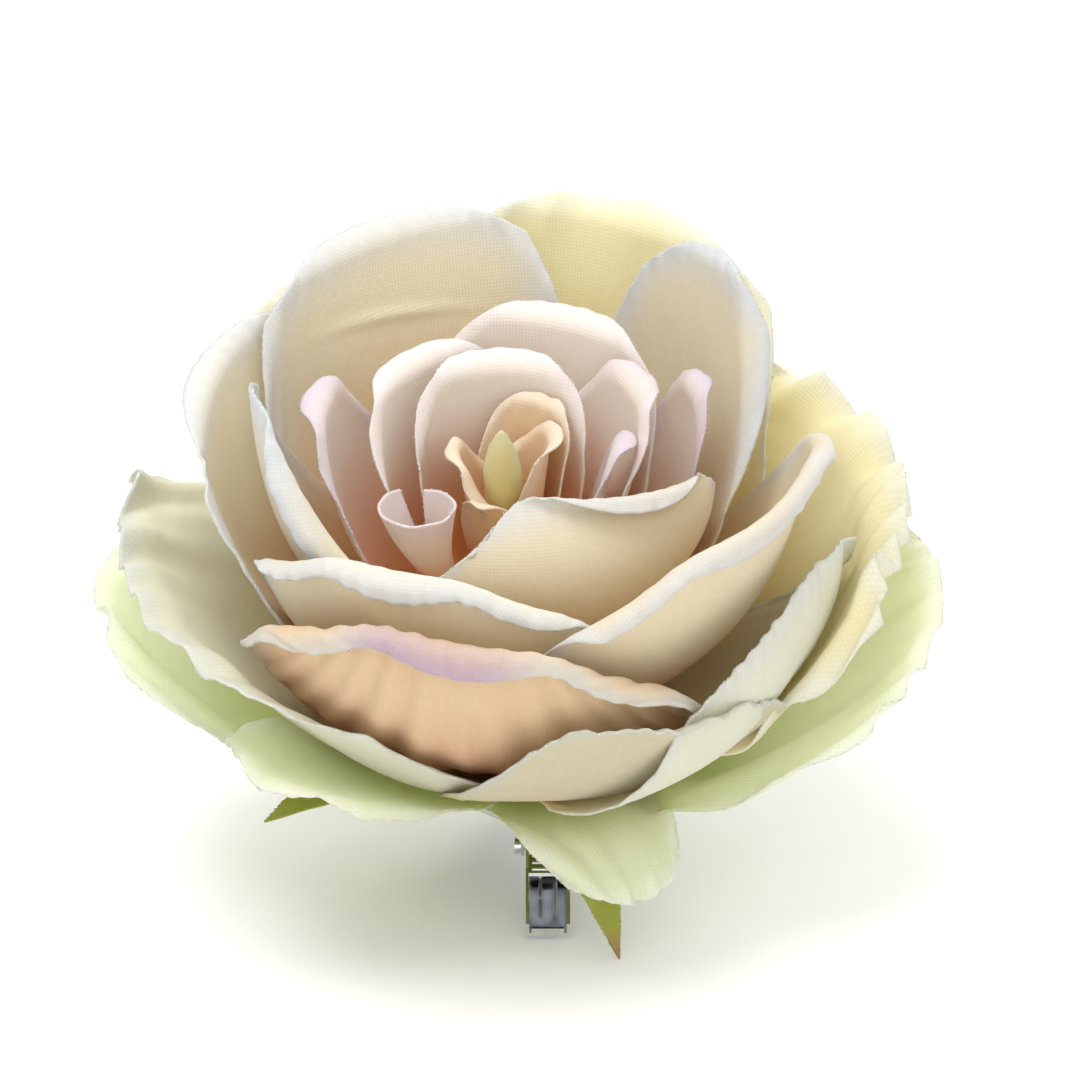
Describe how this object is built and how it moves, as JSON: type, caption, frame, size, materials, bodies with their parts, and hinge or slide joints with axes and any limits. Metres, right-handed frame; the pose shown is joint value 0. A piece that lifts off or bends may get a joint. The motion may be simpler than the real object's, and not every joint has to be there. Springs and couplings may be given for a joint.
{
  "type": "flower hair clip",
  "caption": "Layered fabric rose on a round pad, fixed to a sprung alligator clip whose lower jaw opens on a pin.",
  "frame": {"origin": "on the grip line between the two jaws, midway along their toothed ends", "axes": "+Z away from the head, square to the clip's disc; +Y the way the jaws point; +X to the right of someone facing +Y"},
  "size_m": [0.1179, 0.1008, 0.0902],
  "materials": {
    "heart_cloth": "woven, stiffened, peach to pale yellow",
    "pink_cloth": "woven, stiffened, blush pink with lilac rims",
    "cream_cloth": "woven, stiffened, cream with warm feet",
    "outer_cloth": "woven, stiffened, ivory with curled rims",
    "green_cloth": "woven, stiffened, pale green",
    "sepal_cloth": "coarse weave, moss green with reddish tips",
    "foam": "plain foam",
    "calyx_plastic": "satin green plastic",
    "felt": "short felt",
    "disc_metal": "plated, lightly worn",
    "clip_chrome": "bright plated steel",
    "pin_metal": "plated",
    "spring_wire": "drawn wire"
  },
  "bodies": {
    "root": {"heart_petal_1": "heart_cloth", "heart_petal_2": "heart_cloth", "heart_petal_3": "heart_cloth", "heart_petal_4": "heart_cloth", "heart_petal_5": "heart_cloth", "curl_petal": "pink_cloth", "pink_petal_1": "pink_cloth", "pink_petal_2": "pink_cloth", "pink_petal_3": "pink_cloth", "pink_petal_4": "pink_cloth", "pink_petal_5": "pink_cloth", "pink_petal_6": "pink_cloth", "pink_petal_7": "pink_cloth", "cream_petal_1": "cream_cloth", "cream_petal_2": "cream_cloth", "cream_petal_3": "cream_cloth", "cream_petal_4": "cream_cloth", "cream_petal_5": "cream_cloth", "cream_petal_6": "cream_cloth", "cream_petal_7": "cream_cloth", "outer_petal_1": "outer_cloth", "outer_petal_2": "outer_cloth", "outer_petal_3": "outer_cloth", "outer_petal_4": "outer_cloth", "outer_petal_5": "outer_cloth", "outer_petal_6": "outer_cloth", "outer_petal_7": "outer_cloth", "green_petal_1": "green_cloth", "green_petal_2": "green_cloth", "green_petal_3": "green_cloth", "green_petal_4": "green_cloth", "green_petal_5": "green_cloth", "green_petal_6": "green_cloth", "sepal_1": "sepal_cloth", "sepal_2": "sepal_cloth", "sepal_3": "sepal_cloth", "sepal_4": "sepal_cloth", "sepal_5": "sepal_cloth", "bud_core": "foam", "calyx": "calyx_plastic", "felt_pad": "felt", "disc": "disc_metal", "upper_arm": "clip_chrome", "hinge_pin": "pin_metal", "torsion_spring": "spring_wire"},
    "jaw": {"lower_arm": "clip_chrome"}
  },
  "joints": [
    {"name": "jaw_hinge", "type": "hinge", "parent": "root", "child": "jaw", "pos_m": [0, -0.0275, -0.0026], "axis": [-1, 0, 0], "range_deg": [0, 26], "stiffness_Nm_per_rad": 0.08, "springref_deg": -42.97, "deforming": ["torsion_spring"]}
  ]
}
